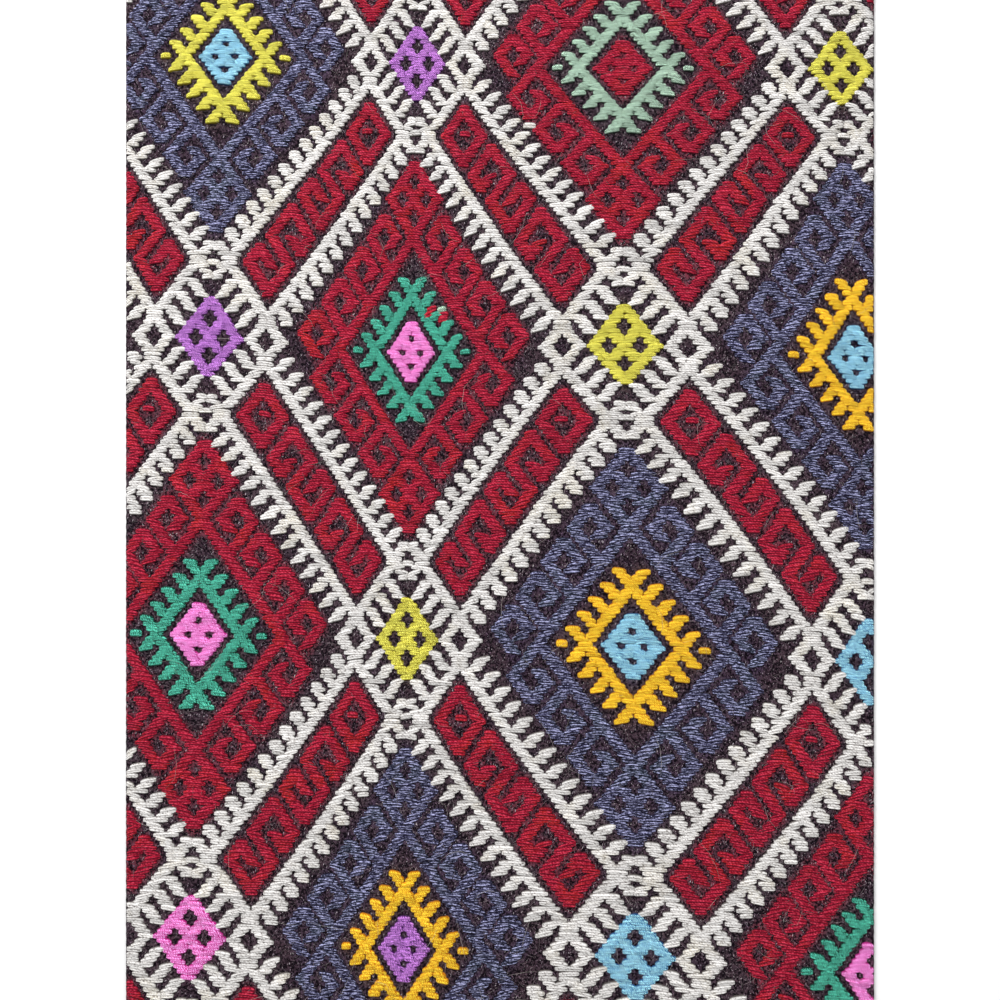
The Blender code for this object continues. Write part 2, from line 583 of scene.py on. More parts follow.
SLANT_LEFT, SLANT_RIGHT = -0.42, 0.26     # in rows, at the ends of floats whose line leans that way
# Unevenness of handwork: in warps at the ends, in rows for level and slant, else as a share
UNEVEN_END, UNEVEN_LEVEL, UNEVEN_SLANT = 0.09, 0.035, 0.09
UNEVEN_WIDTH, UNEVEN_HEIGHT, UNEVEN_CREASE = 0.07, 0.08, 0.05

print(len(PIECE_BUILD), "pieces have a build of their own")

# %% [markdown]
# ## The points of the floats
# Every section and every rim point of all floats of a piece is worked out in one go, still in
# warps and rows. Only at the end are the counts turned into metres, so a float follows the fan and
# the drift of the cloth by itself. A loop over the floats would say the same, but more slowly.

# %% Work out their points
def float_points(rows, build, rim_height):
    """Points of every float: sections of seven rim points, then the two tips."""
    height, width, spare, aslant = build
    count = len(rows)
    alone = (rows[:, 5] == 0) & (rows[:, 6] == 0)
    spare = spare + ALONE_SPARE * alone
    start = WARPS[0] + rows[:, 1] - 0.5 - spare / 2 + rng.normal(0, UNEVEN_END, count)
    stop = WARPS[0] + rows[:, 2] + 0.5 + spare / 2 + rng.normal(0, UNEVEN_END, count)
    start = np.maximum(start, left_edge[rows[:, 0]] + EDGE_GAP)
    stop = np.minimum(stop, right_edge[rows[:, 0]] - EDGE_GAP)
    middle = (start + stop) / 2
    half = (stop - start) / 2
    level = ROWS[0] + rows[:, 0] + rng.normal(0, UNEVEN_LEVEL, count)
    tilt = np.where(rows[:, 4] < 0, SLANT_LEFT, SLANT_RIGHT) * np.abs(rows[:, 4]) * aslant
    tilt = tilt + rng.normal(0, UNEVEN_SLANT, count)
    wide = width * rng.normal(1, UNEVEN_WIDTH, count)
    tall = height * MM * rng.normal(1, UNEVEN_HEIGHT, count)
    crease = rng.normal(0, UNEVEN_CREASE, count)
    t = SECTIONS[None, :, None]
    q = RIM[None, None, :] + crease[:, None, None] * (np.abs(RIM) < 0.1)
    warp = middle[:, None, None] + half[:, None, None] * t + 0 * q
    row = level[:, None, None] + tilt[:, None, None] * t - BOW * (1 - t * t)
    free_above = SPREAD * (1 - rows[:, 5])[:, None, None] * np.minimum(q, 0) * 2
    free_below = SPREAD * (1 - rows[:, 6])[:, None, None] * np.maximum(q, 0) * 2
    row = row + wide[:, None, None] * SECTION_WIDTH[None, :, None] * q + free_above + free_below
    rise = SECTION_HEIGHT[None, :, None] * rim_height[None, None, :]
    z = FLOAT_FOOT + tall[:, None, None] * rise
    tips_warp = middle[:, None] + half[:, None] * np.array([-1.0, 1.0])
    tips_row = level[:, None] + tilt[:, None] * np.array([-1.0, 1.0])
    tips_z = np.full((count, 2), FLOAT_FOOT)
    warp = np.concatenate([warp.reshape(count, -1), tips_warp], 1)
    row = np.concatenate([row.reshape(count, -1), tips_row], 1)
    z = np.concatenate([z.reshape(count, -1), tips_z], 1)
    x, y = lay(warp, row)
    return np.stack([x, y, z], 2)


print(len(SECTIONS) * len(RIM) + 2, "points in a float")

# %% [markdown]
# ## From points to meshes
# All floats share one pattern of faces: quads from section to section and a fan at each tip. The
# pattern is repeated with shifted numbers, which gives one joined mesh for each piece. Separate
# objects or instances would look the same, but a single mesh is quicker to draw and to export.

# %% Faces of a float
def float_faces():
    """Faces of one float: quads between sections, fans at the tips, and which of them lie below."""
    ring_size = len(RIM)
    quads, fans, hidden = [], [], []
    for k in range(len(SECTIONS) - 1):
        here, there = k * ring_size, (k + 1) * ring_size
        for j in range(ring_size):
            n = (j + 1) % ring_size
            quads.append((here + j, here + n, there + n, there + j))
            hidden.append(j == ring_size - 1)
    tip_low = len(SECTIONS) * ring_size
    end = (len(SECTIONS) - 1) * ring_size
    for j in range(ring_size):
        n = (j + 1) % ring_size
        fans.append((tip_low, n, j))
        fans.append((tip_low + 1, end + j, end + n))
        hidden += [j == ring_size - 1] * 2
    return quads, fans, np.array(hidden)


def new_object(name, points, faces, material):
    """A smooth mesh object from points and faces."""
    mesh = bpy.data.meshes.new(name)
    mesh.from_pydata(points.tolist(), [], faces)
    mesh.materials.append(material)
    mesh.shade_smooth()
    piece = bpy.data.objects.new(name, mesh)
    bpy.context.scene.collection.objects.link(piece)
    return piece


print(sum(len(group) for group in float_faces()[:2]), "faces in a float")

# %% [markdown]
# ## A map and two numbers
# Each mesh also gets a map that looks straight down on the cloth, so that its colours can be baked
# later. The undersides of the floats are squeezed into a narrow strip of it, where they hide
# nothing that is seen. Two numbers are kept at each point for the material: the tone of its
# strand, and its rise, which is low in the creases and on the sides, where it gives painted shade.

# %% Join the floats of a yarn
# The tips get the same painted shade as the sides of a float
TIP_RISE = 0.5             # stored at a float's tips, and low enough to make them dark like its sides
HIDDEN_UV = 0.004          # the strip of the map that takes the faces nobody sees
MAP_START, MAP_SPAN = 0.012, 0.98
STRAND_TONE = 0.8          # how unlike the floats are in tone, and the two strands of each


def map_from_above(piece, hidden):
    """A map of the piece seen from above, with the hidden faces squeezed into one margin."""
    mesh = piece.data
    corners = np.zeros(len(mesh.loops), int)
    mesh.loops.foreach_get("vertex_index", corners)
    points = np.zeros(len(mesh.vertices) * 3)
    mesh.vertices.foreach_get("co", points)
    points = points.reshape(-1, 3)[corners]
    span = np.array([cad_high.x - cad_low.x, cad_high.y - cad_low.y])
    uv = (points[:, :2] - [cad_low.x, cad_low.y]) / span
    uv = MAP_START + MAP_SPAN * np.clip(uv, 0, 1)
    counts = np.zeros(len(mesh.polygons), int)
    mesh.polygons.foreach_get("loop_total", counts)
    unseen = np.repeat(hidden, counts)
    uv[unseen] = HIDDEN_UV * (0.25 + 0.5 * uv[unseen])
    layer = mesh.uv_layers.new(name="OFBake")
    layer.data.foreach_set("uv", uv.astype(np.float32).ravel())


def add_values(piece, name, values):
    """A number for each point, which the material can read."""
    layer = piece.data.attributes.new(name, "FLOAT", "POINT")
    layer.data.foreach_set("value", np.asarray(values, np.float32).ravel())


def build_floats(name, rows, build, rim_height, material):
    """All the floats of one piece, as one mesh."""
    points = float_points(rows, build, rim_height)
    count, per_float = points.shape[:2]
    quads, fans, hidden = float_faces()
    starts = np.arange(count)[:, None, None] * per_float
    all_quads = (np.array(quads)[None] + starts).reshape(-1, 4).tolist()
    all_fans = (np.array(fans)[None] + starts).reshape(-1, 3).tolist()
    piece = new_object(name, points.reshape(-1, 3), all_quads + all_fans, material)
    hidden_quads = np.tile(hidden[:len(quads)], count)
    hidden_fans = np.tile(hidden[len(quads):], count)
    map_from_above(piece, np.concatenate([hidden_quads, hidden_fans]))
    side = np.append(np.tile(np.sign(RIM), len(SECTIONS)), [0, 0])
    tone = rng.normal(0, STRAND_TONE, (count, 1)) + rng.normal(0, STRAND_TONE, (count, 1)) * side
    add_values(piece, "tone", tone)
    profile = np.append(np.tile(rim_height, len(SECTIONS)), [TIP_RISE, TIP_RISE])
    add_values(piece, "rise", np.tile(profile, count))
    triangles = 2 * len(all_quads) + len(all_fans)
    print(f"{name}: {count} floats, {triangles} triangles")
    return piece


print("the map covers", MAP_SPAN, "of its square")

# %% [markdown]
# ## Dyed wool
# Wool yarn has three things to show: strands that twist round each other, fibres that catch the
# light in fine streaks, and dye that took a little unevenly. Painted images could show all that,
# but a network of nodes has no pixels: it stays sharp at any distance, and one network serves
# every dye. The helpers here each add one or two nodes, so that the network reads like a recipe.

# %% Helpers for fields and colours
NOISE_ROUGHNESS = 0.6


def socket_link(tree, a, b):
    """Joins an output to an input."""
    tree.links.new(a, b)


def noise(tree, place, scale, detail, stretch=(1, 1, 1), turn=0.0):
    """A noise field in object coordinates, turned about Z and drawn out along the turned axes."""
    mapping = tree.nodes.new("ShaderNodeMapping")
    mapping.vector_type = "TEXTURE"
    mapping.inputs["Scale"].default_value = stretch
    mapping.inputs["Rotation"].default_value = (0, 0, turn)
    field = tree.nodes.new("ShaderNodeTexNoise")
    field.inputs["Scale"].default_value = scale
    field.inputs["Detail"].default_value = detail
    field.inputs["Roughness"].default_value = NOISE_ROUGHNESS
    socket_link(tree, place, mapping.inputs["Vector"])
    socket_link(tree, mapping.outputs["Vector"], field.inputs["Vector"])
    return field.outputs["Fac"]


def mix(tree, share, low, high, kind="MIX"):
    """Mixes two colours; each may be a socket or a plain colour."""
    node = tree.nodes.new("ShaderNodeMix")
    node.data_type = "RGBA"
    node.blend_type = kind
    for value, name in ((share, "Factor"), (low, "A"), (high, "B")):
        target = next(i for i in node.inputs if i.name == name and i.enabled)
        if isinstance(value, bpy.types.NodeSocket):
            socket_link(tree, value, target)
        else:
            target.default_value = value
    return next(o for o in node.outputs if o.enabled)


def scaled(tree, value, from_low, from_high, to_low=0.0, to_high=1.0):
    """Stretches one range of a value to another, and cuts off what lies outside."""
    node = tree.nodes.new("ShaderNodeMapRange")
    node.inputs["From Min"].default_value = from_low
    node.inputs["From Max"].default_value = from_high
    node.inputs["To Min"].default_value = to_low
    node.inputs["To Max"].default_value = to_high
    socket_link(tree, value, node.inputs["Value"])
    return node.outputs["Result"]


def maths(tree, operation, a, b):
    """One sum of two values; each may be a socket or a plain number."""
    node = tree.nodes.new("ShaderNodeMath")
    node.operation = operation
    for value, target in ((a, node.inputs[0]), (b, node.inputs[1])):
        if isinstance(value, bpy.types.NodeSocket):
            socket_link(tree, value, target)
        else:
            target.default_value = value
    return node.outputs["Value"]


print("noise is as rough as", NOISE_ROUGHNESS)

# %% [markdown]
# ## What every wool shares
# All wools here are matt, and all are a little rough. One helper makes such a material, and the
# others read what is stored on the mesh, roughen the surface and draw the turns of plied yarn.
# A node group could be shared instead, but plain functions are easier to read.

# %% Helpers for wool
def new_wool(name, roughness, sheen, gloss):
    """A matt material, its node tree and shader, and the place on the cloth as a socket."""
    material = bpy.data.materials.new(name)
    material.use_nodes = True
    tree = material.node_tree
    shader = tree.nodes["Principled BSDF"]
    shader.inputs["Roughness"].default_value = roughness
    shader.inputs["Sheen Weight"].default_value = sheen
    shader.inputs["Sheen Roughness"].default_value = 0.45
    shader.inputs["Specular IOR Level"].default_value = gloss
    place = tree.nodes.new("ShaderNodeTexCoord").outputs["Object"]
    return material, tree, shader, place


def stored_value(tree, name, output="Fac"):
    """A number, or with the output Color a colour, that is kept at each point of the mesh."""
    node = tree.nodes.new("ShaderNodeAttribute")
    node.attribute_name = name
    return node.outputs[output]


def roughen(tree, shader, height, strength, depth):
    """A fine bump on the surface."""
    bump = tree.nodes.new("ShaderNodeBump")
    bump.inputs["Strength"].default_value = strength
    bump.inputs["Distance"].default_value = depth
    socket_link(tree, height, bump.inputs["Height"])
    socket_link(tree, bump.outputs["Normal"], shader.inputs["Normal"])


def twist_bands(tree, place, scale, distortion):
    """Slanting bands, like the turns of plied yarn."""
    bands = tree.nodes.new("ShaderNodeTexWave")
    bands.bands_direction = "DIAGONAL"
    bands.inputs["Scale"].default_value = scale
    bands.inputs["Distortion"].default_value = distortion
    bands.inputs["Detail"].default_value = 1.5
    bands.inputs["Detail Scale"].default_value = 2.0
    socket_link(tree, place, bands.inputs["Vector"])
    return bands.outputs["Fac"]


print("helpers ready for", len(YARNS), "wools")

# %% [markdown]
# ## Mixing a dyed wool
# Fine streaks along the float and some grain say where the fibres catch the light, and the twist
# shifts them a little. That one value turns shade into body colour and body colour into lit
# fibres, and it is also the bump. The stored rise darkens the creases and the sides of a float,
# where light gets lost between fibres, and the stored tone makes each strand lighter or darker as
# a whole. A trace of sheen gives the soft edge that wool has and plastic has not.

# %% The wool material
# How the strands of each kind of yarn show: pitch and strength of the twist, length of the streaks,
# edges of shade to body and of body to light, edges of the crease, and bump
IVORY_LOOK = (380, 0.10, 5.0, (0.34, 0.47), (0.47, 0.62), (0.68, 0.97), 1.0)
WOOL_LOOK = (380, 0.12, 5.0, (0.31, 0.46), (0.48, 0.65), (0.52, 0.95), 1.0)
LOOSE_LOOK = (380, 0.03, 6.0, (0.42, 0.51), (0.49, 0.58), (0.58, 1.00), 1.0)
THREAD_LOOK = (640, 0.44, 2.5, (0.34, 0.50), (0.47, 0.62), (0.67, 0.95), 0.9)
# How fine each noise is, in turns to the metre
STREAKS, GRAIN, PATCHES = 2100, 1500, 45
TWIST_WANDER = 5.0
STREAK_SHARE, GRAIN_SHARE = 0.7, 0.3
PATCH_EDGE = (0.50, 0.66)
TONE_RANGE = (-2.6, 2.6, 0.72, 1.28)      # stored tones, and the gain they stand for
BUMP_DEPTH = 0.3 * MM


def dyed_wool(name, shade, body, light, patch, look):
    """Two-strand wool: shade between the strands, body on them, light on the lit fibres."""
    twist, twist_share, drawn_out, shade_edge, light_edge, crease_edge, relief = look
    material, tree, shader, place = new_wool(name, roughness=0.88, sheen=0.05, gloss=0.12)
    streak = maths(tree, "MULTIPLY", noise(tree, place, STREAKS, 3, (drawn_out, 1.0, 1.0)), STREAK_SHARE)
    grain = maths(tree, "MULTIPLY", noise(tree, place, GRAIN, 2), GRAIN_SHARE)
    turns = twist_bands(tree, place, twist, TWIST_WANDER)
    ply = maths(tree, "MULTIPLY", maths(tree, "SUBTRACT", turns, 0.5), twist_share)
    lit = maths(tree, "ADD", maths(tree, "ADD", streak, grain), ply)
    slow = noise(tree, place, PATCHES, 3)
    tinted = mix(tree, scaled(tree, slow, *PATCH_EDGE), body, patch)
    # Painted shade and painted highlight: the streaky value mixes the crease tone under the dye and the
    # lit tone over it
    colour = mix(tree, scaled(tree, lit, *shade_edge), shade, tinted)
    colour = mix(tree, scaled(tree, lit, *light_edge), colour, light)
    # Painted shade: where the stored rise is low, in the creases, on the sides and at the tips, the
    # colour turns to the crease tone
    rise = scaled(tree, stored_value(tree, "rise"), *crease_edge)
    colour = mix(tree, rise, shade, colour)
    tone = scaled(tree, stored_value(tree, "tone"), *TONE_RANGE)
    gain = tree.nodes.new("ShaderNodeVectorMath")
    gain.operation = "SCALE"
    socket_link(tree, colour, gain.inputs[0])
    socket_link(tree, tone, gain.inputs["Scale"])
    socket_link(tree, gain.outputs["Vector"], shader.inputs["Base Color"])
    roughen(tree, shader, lit, relief, BUMP_DEPTH)
    return material


print("streaks every", round(1 / STREAKS / MM, 2), "mm")

# %% [markdown]
# ## The dye pots
# Each dye has four tones: a painted shade for the creases, the dye on the strands, a painted
# highlight for the lit fibres, and the dye where it took differently. They could be worked out from
# one colour, but dyed wool shifts in hue in shade and in light, so all four are set one by one.

# %% Dye the yarns
# Painted shade in creases, dye on strands, painted highlight on lit fibres, dye that took differently
DYES_AND_PAINTED_LIGHT = {
    "ivory": ((0.10, 0.085, 0.08), (0.72, 0.695, 0.675), (0.93, 0.92, 0.905), (0.72, 0.67, 0.57)),
    "crimson": ((0.064, 0.001, 0.009), (0.325, 0.003, 0.021), (0.78, 0.066, 0.125),
                (0.43, 0.013, 0.007)),
    "indigo": ((0.005, 0.004, 0.014), (0.047, 0.043, 0.116), (0.55, 0.56, 0.88),
               (0.058, 0.088, 0.120)),
    "yellow": ((0.20, 0.15, 0.006), (0.81, 0.71, 0.030), (1.0, 0.98, 0.19), (0.81, 0.79, 0.07)),
    "orange": ((0.46, 0.15, 0.003), (1.0, 0.56, 0.004), (1.0, 0.77, 0.06), (1.0, 0.47, 0.01)),
    "emerald": ((0.001, 0.018, 0.012), (0.002, 0.185, 0.10), (0.14, 0.74, 0.54), (0.010, 0.27, 0.16)),
    "pale_green": ((0.011, 0.020, 0.014), (0.17, 0.30, 0.20), (0.72, 1.0, 0.79), (0.27, 0.36, 0.26)),
    "pink": ((0.42, 0.012, 0.190), (1.0, 0.13, 0.60), (1.0, 0.48, 0.97), (1.0, 0.24, 0.52)),
    "sky": ((0.008, 0.070, 0.21), (0.066, 0.45, 0.87), (0.58, 1.0, 1.0), (0.14, 0.52, 0.88)),
    "violet": ((0.038, 0.003, 0.07), (0.29, 0.042, 0.43), (0.84, 0.36, 1.0), (0.38, 0.075, 0.46)),
}
LOOKS = {"ivory": IVORY_LOOK, "crimson": WOOL_LOOK, "indigo": LOOSE_LOOK}
wools = {}
for dye, tones in DYES_AND_PAINTED_LIGHT.items():
    colours = [tone + (1,) for tone in tones]
    wools[dye] = dyed_wool("wool_" + dye, *colours, LOOKS.get(dye, THREAD_LOOK))
print(len(wools), "dyed wools")

# %% [markdown]
# ## Lay the floats
# The ivory and the crimson yarns make so many floats that each is kept as two pieces, in the way
# a weaver would name them: the lines and the combs of the lattice, the bars and the diamonds.


def add_piece(piece):
    """Fixes a piece to the cloth's body."""
    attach(piece, "root")


def belongs_to_bar(rows):
    """True for floats that lie in the channels between two lattice lines."""
    warp = WARPS[0] + (rows[:, 1] + rows[:, 2]) // 2
    row = ROWS[0] + rows[:, 0]
    s = centred(warp + row - UNIT)
    d = centred(warp - row - UNIT)
    return (np.abs(s) <= CHANNEL_HALF) | (np.abs(d) <= CHANNEL_HALF)


def belongs_to_comb(rows):
    """True for floats that stand beside the lattice lines, as teeth do."""
    warp = WARPS[0] + (rows[:, 1] + rows[:, 2]) // 2
    row = ROWS[0] + rows[:, 0]
    s = np.abs(centred(warp + row - UNIT))
    d = np.abs(centred(warp - row - UNIT))
    return ~((np.abs(s - LINE_AT) <= 2) | (np.abs(d - LINE_AT) <= 2))


for yarn in YARNS[1:]:
    chosen = all_floats[all_floats[:, 3] == YARN[yarn]]
    parts = {"brocade_" + yarn: chosen}
    if yarn == "ivory":
        teeth = belongs_to_comb(chosen)
        parts = {"brocade_ivory_combs": chosen[teeth], "brocade_ivory_lines": chosen[~teeth]}
    if yarn == "crimson":
        bars = belongs_to_bar(chosen)
        parts = {"brocade_crimson_bars": chosen[bars], "brocade_crimson_diamonds": chosen[~bars]}
    for name, rows in parts.items():
        build = PIECE_BUILD.get(name, CORE_BUILD)
        rim_height = LOOSE_RIM if yarn in ("crimson", "indigo") else ROUND_RIM
        add_piece(build_floats(name, rows, build, rim_height, wools[yarn]))

# %% [markdown]
# ## The ground
# Between the floats the dark ground shows: a plain weave of coarse, hairy, brown-black wool. Each
# crossing of a warp and a weft is one point of a mesh here, high where the warp lies on top and
# low where it dives, in turn, like a chessboard. That is the real structure at its real pitch.
# Points outside the outline are pulled in onto it, which gives a clean cut edge.
#
# Face and back are woven by the same function, as two closed meshes that meet in a seam halfway
# down the edge. One mesh could hold both, but two are easier to colour.

# %% Trim the ground to the outline
KNUCKLE = 0.22 * MM         # rise and fall of the ground at its crossings
LOOSE_KNUCKLE = 0.3         # how uneven that is, as a share of it
GROUND_SEAM = 0.9 * MM      # height at which the face of the ground meets its back


def ground_grid():
    """Grid of points over the cloth, clamped to its outline, with the cells that are kept."""
    x, y = lay(warp_grid, row_grid)
    y = np.clip(y, cad_low.y, cad_high.y)
    limit = half_width(y)
    x = np.clip(x, -limit, limit)
    near_cloth = inside(cell_x, cell_y)
    kept = near_cloth[:-1, :-1] | near_cloth[1:, :-1] | near_cloth[:-1, 1:] | near_cloth[1:, 1:]
    return x, y, kept


def rim_of(faces):
    """Edges that belong to one face only, in the direction of that face."""
    edges = {}
    for face in faces:
        for a, b in zip(face, face[1:] + face[:1]):
            if (b, a) in edges:
                del edges[(b, a)]
            else:
                edges[(a, b)] = True
    return list(edges)


print(int(ground_grid()[2].sum()), "cells of the ground are kept")

# %% [markdown]
# ## Close the edge
# A sheet of faces has no thickness, but a cut edge shows some. So the rim is followed round the
# sheet and drawn straight to the seam as a skirt, and a flat cap closes the mesh there. A Solidify
# modifier would do it too, but it would copy every knuckle to a side that nobody sees.

# %% Weave one side
def weave(name, heights, material, facing_up):
    """One side of the ground, closed by a skirt and a flat cap at the seam."""
    x, y, kept = ground_grid()
    number = np.arange(x.size).reshape(x.shape)
    a, b, c, d = number[:-1, :-1], number[1:, :-1], number[1:, 1:], number[:-1, 1:]
    faces = np.stack([a, b, c, d], -1)[kept]
    if not facing_up:
        faces = faces[:, ::-1]
    used = np.unique(faces)
    renumber = np.zeros(x.size, int)
    renumber[used] = np.arange(len(used))
    faces = renumber[faces].tolist()
    points = np.stack([x.ravel(), y.ravel(), heights.ravel()], 1)[used]
    rim = rim_of(faces)
    follow = dict(rim)
    loop = [rim[0][0]]
    while follow[loop[-1]] != loop[0]:
        loop.append(follow[loop[-1]])
    base = len(points)
    low = points[loop].copy()
    low[:, 2] = GROUND_SEAM
    points = np.concatenate([points, low])
    skirt = []
    for k in range(len(loop)):
        n = (k + 1) % len(loop)
        skirt.append([loop[n], loop[k], base + k, base + n])
    cap = [list(range(base, base + len(loop)))]
    piece = new_object(name, points, faces + skirt + cap, material)
    hidden = np.array([False] * len(faces) + [True] * (len(skirt) + 1))
    map_from_above(piece, hidden)
    print(f"{name}: {len(faces)} cells, rim of {len(loop)} points")
    return piece, used


def chessboard():
    """Rise and fall of the crossings: up and down in turn, each a little uneven."""
    turn = (warp_grid + row_grid) % 2 * 2 - 1
    loose = rng.normal(0, LOOSE_KNUCKLE, warp_grid.shape)
    return KNUCKLE * (turn + loose)


print("knuckles of", KNUCKLE / MM, "mm on a ground", GROUND_TOP / MM, "mm thick")

# %% [markdown]
# ## Hairy brown-black wool
# The ground wool is not black: it has holes between its fibres, painted near-black as shade, brown
# wool around them, and pale hairs that lie over it in all directions. Three noises drawn out along
# three directions stand for the hairs, painted partly in their own pale colour and partly as glints
# where light catches glossy hairs. Loose fibres of the floats mat into the ground beside them too,
# so it looks reddish in a crimson diamond and bluish in an indigo one. That tint is a colour kept at
# each point of the mesh. Fine coloured hairs could be modelled instead, but they would need many
# more triangles.

# %% Weave the ground
WOOL_BLACK = (0.060, 0.036, 0.047)
# Painted shade for the holes between the fibres of the ground wool
HOLE_SHADE = (0.004, 0.002, 0.004, 1)
# How much each yarn's own fuzz tints the ground beside it
FUZZ = {"ivory": 0.05, "crimson": 1.20, "indigo": 0.70}
ACCENT_FUZZ = 0.08
# Directions and tints of the pale hairs in the ground wool, partly painted glints of light
HAIRS_AND_GLINTS = ((0.4, (0.34, 0.28, 0.30)), (1.3, (0.50, 0.45, 0.46)), (2.2, (0.20, 0.13, 0.18)))
HAIR_SCALE, HAIR_STRETCH = 1700, 3.2
HAIR_EDGE = (0.67, 0.77)
HOLE_SCALE = 900
HOLE_EDGE = (0.44, 0.60)
DIM_EDGE = (0.40, 0.70)
DIM_TINT = (0.72, 0.68, 0.80, 1)


def ground_wool():
    """Brown-black wool with painted shade in its holes and pale fibres lying over it in all directions,
    partly painted glints.
    """
    material, tree, shader, place = new_wool("wool_ground", roughness=0.85, sheen=0.0, gloss=0.05)
    fine = noise(tree, place, HOLE_SCALE, 3)
    # Painted shade where the fine noise is low, in the holes between fibres
    colour = mix(tree, scaled(tree, fine, *HOLE_EDGE), HOLE_SHADE, stored_value(tree, "fuzz", "Color"))
    # Pale hairs, partly their own colour and partly painted glints of light
    for turn, tint in HAIRS_AND_GLINTS:
        hair_and_glint = noise(tree, place, HAIR_SCALE, 1, (HAIR_STRETCH, 1.0, 1.0), turn)
        colour = mix(tree, scaled(tree, hair_and_glint, *HAIR_EDGE), colour, tint + (1,))
    slow = noise(tree, place, PATCHES, 2)
    dim = mix(tree, scaled(tree, slow, *DIM_EDGE), (1, 1, 1, 1), DIM_TINT)
    colour = mix(tree, 1.0, colour, dim, "MULTIPLY")
    socket_link(tree, colour, shader.inputs["Base Color"])
    roughen(tree, shader, fine, 0.9, BUMP_DEPTH)
    return material


def fuzz_colours():
    """The colour of the ground at each crossing, tinted by the floats on and around it."""
    dyes = np.array([(0, 0, 0)] + [DYES_AND_PAINTED_LIGHT[name][1] for name in YARNS[1:]])
    strength = np.array([0] + [FUZZ.get(name, ACCENT_FUZZ) for name in YARNS[1:]])
    own = (dyes * strength[:, None])[face_yarn]
    spread = np.zeros(own.shape)
    for down in (-1, 0, 1):
        for aside in (-1, 0, 1):
            spread += np.roll(own, (down, aside), (0, 1)) / 9
    return np.array(WOOL_BLACK) + spread


def store_colours(piece, name, colours, used):
    """Keeps a colour for each point; the points of the skirt get plain ground wool."""
    skirt = len(piece.data.vertices) - len(used)
    colours = np.concatenate([colours.reshape(-1, 3)[used], np.tile(WOOL_BLACK, (skirt, 1))])
    colours = np.concatenate([colours, np.ones((len(colours), 1))], 1)
    layer = piece.data.attributes.new(name, "FLOAT_COLOR", "POINT")
    layer.data.foreach_set("color", colours.astype(np.float32).ravel())


ground_face, face_used = weave("ground_face", GROUND_TOP + chessboard(), ground_wool(), True)
store_colours(ground_face, "fuzz", fuzz_colours(), face_used)
add_piece(ground_face)
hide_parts(CLOTH)

# %% [markdown]
# ## The back
# On the back the pattern shows in reverse: where a coloured yarn is not floating on the face, it
# is carried behind the ground to its next float. So each crossing of the back is coloured by the
# second chart, and stays dark where the yarn is out on the face.

# %% Weave the back
CARRIED_AT, BACK_AT = 0.08 * MM, 0.34 * MM      # heights of the carried yarns and of the ground
BACK_KNUCKLE = 0.5                              # the back is flatter than the face


def back_wool():
    """The same dyes, picked for each crossing by a colour that is stored on the mesh."""
    material, tree, shader, place = new_wool("wool_back", roughness=0.92, sheen=0.05, gloss=0.1)
    dye = stored_value(tree, "carried", "Color")
    streak = noise(tree, place, 900, 3, (0.3, 1.0, 1.0))
    dark = mix(tree, 0.65, dye, (0.2, 0.2, 0.2, 1), "MULTIPLY")
    colour = mix(tree, scaled(tree, streak, 0.3, 0.6), dark, dye)
    socket_link(tree, colour, shader.inputs["Base Color"])
    roughen(tree, shader, streak, 0.6, 0.25 * MM)
    return material


def back_heights():
    """Carried yarns lie lowest, nearly on the floor, and the dark ground a little higher."""
    carried = (face_yarn == 0) & (back_yarn > 0)
    return np.where(carried, CARRIED_AT, BACK_AT) + np.abs(chessboard()) * BACK_KNUCKLE


ground_back, back_used = weave("ground_back", back_heights(), back_wool(), False)
palette = np.array([WOOL_BLACK] + [DYES_AND_PAINTED_LIGHT[name][1] for name in YARNS[1:]])
shown = np.where(face_yarn == 0, back_yarn, 0)
store_colours(ground_back, "carried", palette[shown], back_used)
add_piece(ground_back)

# %% [markdown]
# ## Stray fibres
# Handspun wool sheds. A close look shows pale hairs lying over ground and floats alike, most of
# them a few millimetres long, a few much longer and wavy. A particle system could grow them, but
# they would all root in the surface. These lie across it, so each is a thin three-sided tube along
# its own short curve.

# %% Sow the fibres
GROUND_FIBRES, LONG_FIBRES = 5000, 260      # sown all over the plan; those off the cloth are dropped
FIBRE_POINTS = 4
FIBRE_SIDES = 3
FIBRE_ARCH = np.array([-0.5, 0.25, 0.3, -0.5]) * MM      # both ends dip into the wool
FIBRE_TAPER = np.array([0.5, 1.0, 1.0, 0.4])
FIBRE_MARGIN = 2 * MM                       # no fibre ends nearer than this to the cut edge


def fibre_paths(count, length_low, length_high, bend, height):
    """Middle lines of the fibres, four points each, on the face of the cloth."""
    warp = rng.uniform(WARPS[0], WARPS[-1], count)
    row = rng.uniform(ROWS[0], ROWS[-1], count)
    x, y = lay(warp, row)
    length = rng.uniform(length_low, length_high, count) * MM
    heading = rng.uniform(0, 2 * math.pi, count)
    curl = rng.normal(0, bend, count)
    points = []
    for k in range(FIBRE_POINTS):
        points.append((x, y))
        x = x + np.cos(heading) * length / (FIBRE_POINTS - 1)
        y = y + np.sin(heading) * length / (FIBRE_POINTS - 1)
        heading = heading + curl * rng.uniform(0.4, 1.6, count)
    path = np.array(points).transpose(2, 0, 1)
    lift = height + rng.uniform(0, 0.5, (count, 1)) * MM + FIBRE_ARCH
    path = np.concatenate([path, lift[..., None]], 2)
    start_on = inside(path[:, 0, 0], path[:, 0, 1], FIBRE_MARGIN)
    end_on = inside(path[:, -1, 0], path[:, -1, 1], FIBRE_MARGIN)
    return path[start_on & end_on]


print(GROUND_FIBRES + LONG_FIBRES, "fibres to sow")

# %% [markdown]
# ## Tubes for the fibres
# A fibre is little more than a tenth of a millimetre thick, so three sides are enough to catch the
# light. The tubes of one kind are joined into one mesh, like the floats. Curves could be used for
# them too, but joined tubes export as they are.

